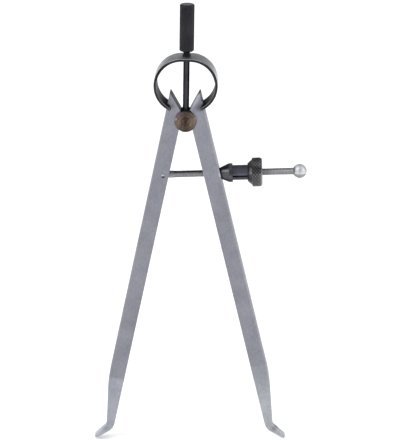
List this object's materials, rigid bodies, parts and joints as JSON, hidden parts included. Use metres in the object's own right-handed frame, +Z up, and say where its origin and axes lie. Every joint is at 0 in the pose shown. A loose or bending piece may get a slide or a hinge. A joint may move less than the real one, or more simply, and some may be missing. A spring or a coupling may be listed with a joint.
{
  "type": "inside spring caliper",
  "caption": "Inside spring caliper: flat legs with out-turned toes on a fulcrum stud, bow spring, stem with round handle, and a split quick nut on a cross screw.",
  "frame": {"origin": "middle of the handle's grip, on the stem's axis", "axes": "+Z up the stem from the legs to the handle's end, +X towards the leg that carries the nut, +Y to the back, away from the fulcrum stud's head"},
  "size_m": [0.0898, 0.0124, 0.1967],
  "materials": {
    "leg_steel": "fine ground steel with a satin surface",
    "spring_steel": "dark tempered strip, brushed along its length",
    "black_steel": "blackened, with a knurl on the handle's grip",
    "nut_steel": "dark blued steel, knurled rim",
    "screw_steel": "grey steel with a fine thread",
    "fulcrum_brown": "turned rings under a brown tarnish",
    "bright_steel": "polished ball"
  },
  "bodies": {
    "fulcrum": {"fulcrum_stud": "fulcrum_brown", "rear_flange": "fulcrum_brown", "stem": "black_steel", "foot_collar": "black_steel", "crown_nut": "black_steel", "handle": "black_steel", "bow_spring": "spring_steel"},
    "left_arm": {"left_leg": "leg_steel", "swivel_pin": "leg_steel"},
    "right_arm": {"right_leg": "leg_steel"},
    "screw": {"swivel_block": "leg_steel", "adjusting_screw": "screw_steel", "end_ball": "bright_steel"},
    "collar": {"bearing_collar": "nut_steel"},
    "nut": {"nut_head": "nut_steel", "nut_plug": "nut_steel", "spreader_ring": "screw_steel"},
    "lower_half": {"lower_half_nut": "nut_steel"},
    "upper_half": {"upper_half_nut": "nut_steel"}
  },
  "joints": [
    {"name": "left_leg_swing", "type": "hinge", "parent": "fulcrum", "child": "left_arm", "pos_m": [0, 0, -0.03923], "axis": [0, 1, 0], "range_deg": [-12.5, 3.4], "deforming": ["bow_spring"]},
    {"name": "right_leg_swing", "type": "hinge", "parent": "fulcrum", "child": "right_arm", "pos_m": [0, 0, -0.03923], "axis": [0, -1, 0], "range_deg": [-12.5, 3.4]},
    {"name": "screw_swivel", "type": "hinge", "parent": "left_arm", "child": "screw", "pos_m": [-0.00915, 0, -0.06356], "axis": [0, -1, 0], "range_deg": [-16.1, 4.4]},
    {"name": "nut_travel", "type": "slide", "parent": "screw", "child": "collar", "axis": [0.9988, 0, 0.0497], "range_m": [-0.0109, 0.003]},
    {"name": "nut_turn", "type": "hinge", "parent": "collar", "child": "nut", "pos_m": [0.01667, 0, -0.06228], "axis": [0.9988, 0, 0.0497], "continuous": true},
    {"name": "lower_half_release", "type": "slide", "parent": "nut", "child": "lower_half", "axis": [0.7404, 0.1639, -0.6519], "range_m": [0, 0.00042]},
    {"name": "upper_half_release", "type": "slide", "parent": "nut", "child": "upper_half", "axis": [0.6721, -0.1639, 0.7221], "range_m": [0, 0.00042]}
  ],
  "couplings": [
    {"joint": "right_leg_swing", "follows": "left_leg_swing", "ratio": 1},
    {"joint": "screw_swivel", "follows": "left_leg_swing", "ratio": 1.285},
    {"joint": "nut_travel", "follows": "left_leg_swing", "m_per_rad": 0.0494},
    {"joint": "upper_half_release", "follows": "lower_half_release", "ratio": 1}
  ]
}
